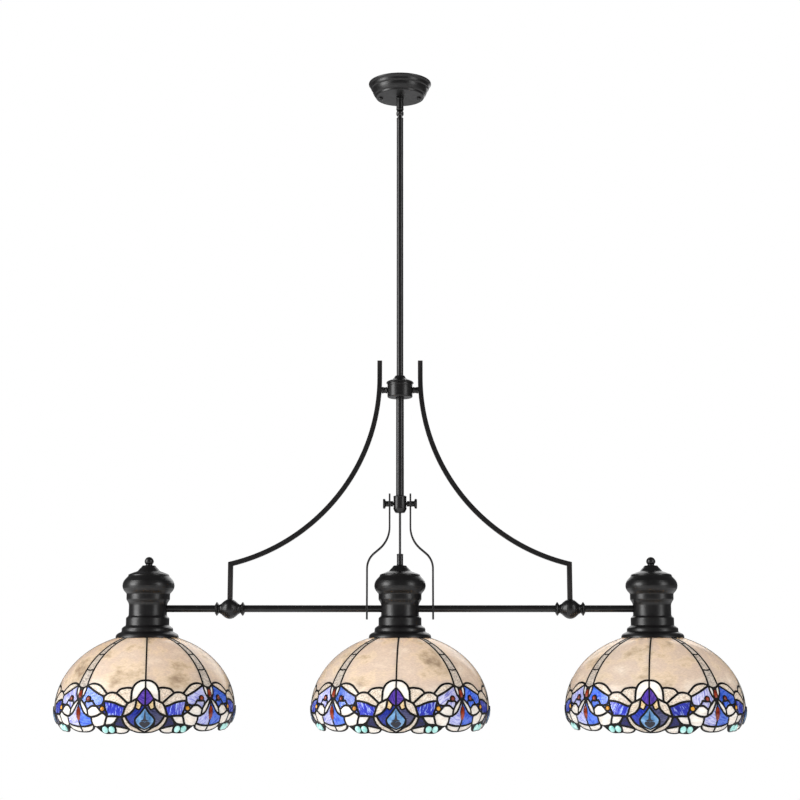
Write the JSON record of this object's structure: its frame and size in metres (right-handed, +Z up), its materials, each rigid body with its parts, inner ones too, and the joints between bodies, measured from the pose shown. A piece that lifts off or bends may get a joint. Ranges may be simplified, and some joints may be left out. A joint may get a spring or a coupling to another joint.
{
  "type": "pool table lamp",
  "caption": "Pool table pendant lamp: ceiling canopy, swivel stem, hub with curved arms, horizontal bar, and a row of turned bells with leaded glass dome shades.",
  "frame": {"origin": "on the ceiling plane at the centre of the canopy", "axes": "+Z up towards the ceiling, X along the horizontal bar, Y across it"},
  "size_m": [1.1784, 0.3046, 1.1554],
  "materials": {
    "dark_bronze": "satin",
    "zinc_steel": "satin",
    "cap_brass": "satin",
    "porcelain": "gloss",
    "bulb_glass": "frosted",
    "shade_glass": "opalescent",
    "blue_glass": "streaky",
    "jewel_glass": "gloss",
    "lead_came": "patinated",
    "cable_black": "matt",
    "wire_nut_plastic": "matt"
  },
  "bodies": {
    "ceiling_plate": {"crossbar": "zinc_steel", "canopy": "dark_bronze", "canopy_screw_left": "dark_bronze", "canopy_screw_right": "dark_bronze", "canopy_nipple": "zinc_steel", "canopy_locknut": "zinc_steel", "swivel_collar": "dark_bronze", "supply_lead_live": "cable_black", "supply_lead_neutral": "cable_black", "wire_nut_live": "wire_nut_plastic", "wire_nut_neutral": "wire_nut_plastic"},
    "swivel": {"knuckle_upper": "dark_bronze", "knuckle_pin": "zinc_steel"},
    "fixture": {"knuckle_lower": "dark_bronze", "stem_tube": "dark_bronze", "hub_cap": "dark_bronze", "hub_body": "dark_bronze", "hub_coupling": "zinc_steel", "hub_stub_left": "dark_bronze", "hub_stub_right": "dark_bronze", "lower_rod": "dark_bronze", "arm_left": "dark_bronze", "arm_right": "dark_bronze", "strap_knuckle": "dark_bronze", "strap_spacer_left": "dark_bronze", "strap_spacer_right": "dark_bronze", "strap_left": "dark_bronze", "strap_right": "dark_bronze", "inner_bar_left": "dark_bronze", "inner_bar_right": "dark_bronze", "outer_bar_left": "dark_bronze", "outer_bar_right": "dark_bronze", "ball_connector_left": "dark_bronze", "ball_connector_right": "dark_bronze", "lamp_lead_left": "cable_black", "lamp_lead_right": "cable_black", "pendant_cord": "cable_black", "cord_tube": "dark_bronze", "finial_left": "dark_bronze", "finial_right": "dark_bronze", "fitter_left": "dark_bronze", "socket_left": "porcelain", "shade_cap_left": "cap_brass", "shade_ring_left": "cap_brass", "shade_left": "shade_glass", "fitter_centre": "dark_bronze", "socket_centre": "porcelain", "shade_cap_centre": "cap_brass", "shade_ring_centre": "cap_brass", "shade_centre": "shade_glass", "fitter_right": "dark_bronze", "socket_right": "porcelain", "shade_cap_right": "cap_brass", "shade_ring_right": "cap_brass", "shade_right": "shade_glass"},
    "thumb_left": {"thumb_screw_left": "dark_bronze"},
    "thumb_right": {"thumb_screw_right": "dark_bronze"},
    "lamp_left": {"bulb_left": "bulb_glass"},
    "lamp_centre": {"bulb_centre": "bulb_glass"},
    "lamp_right": {"bulb_right": "bulb_glass"}
  },
  "joints": [
    {"name": "swivel_turn", "type": "hinge", "parent": "ceiling_plate", "child": "swivel", "pos_m": [0, 0, -0.05], "axis": [0, 0, 1], "range_deg": [-170, 170]},
    {"name": "hang_swing", "type": "hinge", "parent": "swivel", "child": "fixture", "pos_m": [0, 0, -0.057], "axis": [1, 0, 0], "range_deg": [-45, 45]},
    {"name": "thumb_screw_left_turn", "type": "hinge", "parent": "fixture", "child": "thumb_left", "pos_m": [-0.02, 0, -0.7713], "axis": [-1, 0, 0], "range_deg": [0, 180]},
    {"name": "thumb_screw_right_turn", "type": "hinge", "parent": "fixture", "child": "thumb_right", "pos_m": [0.02, 0, -0.7713], "axis": [1, 0, 0], "range_deg": [0, 180]},
    {"name": "bulb_left_unscrew", "type": "slide", "parent": "fixture", "child": "lamp_left", "axis": [0, 0, -1], "range_m": [0, 0.03]},
    {"name": "bulb_centre_unscrew", "type": "slide", "parent": "fixture", "child": "lamp_centre", "axis": [0, 0, -1], "range_m": [0, 0.03]},
    {"name": "bulb_right_unscrew", "type": "slide", "parent": "fixture", "child": "lamp_right", "axis": [0, 0, -1], "range_m": [0, 0.03]}
  ]
}
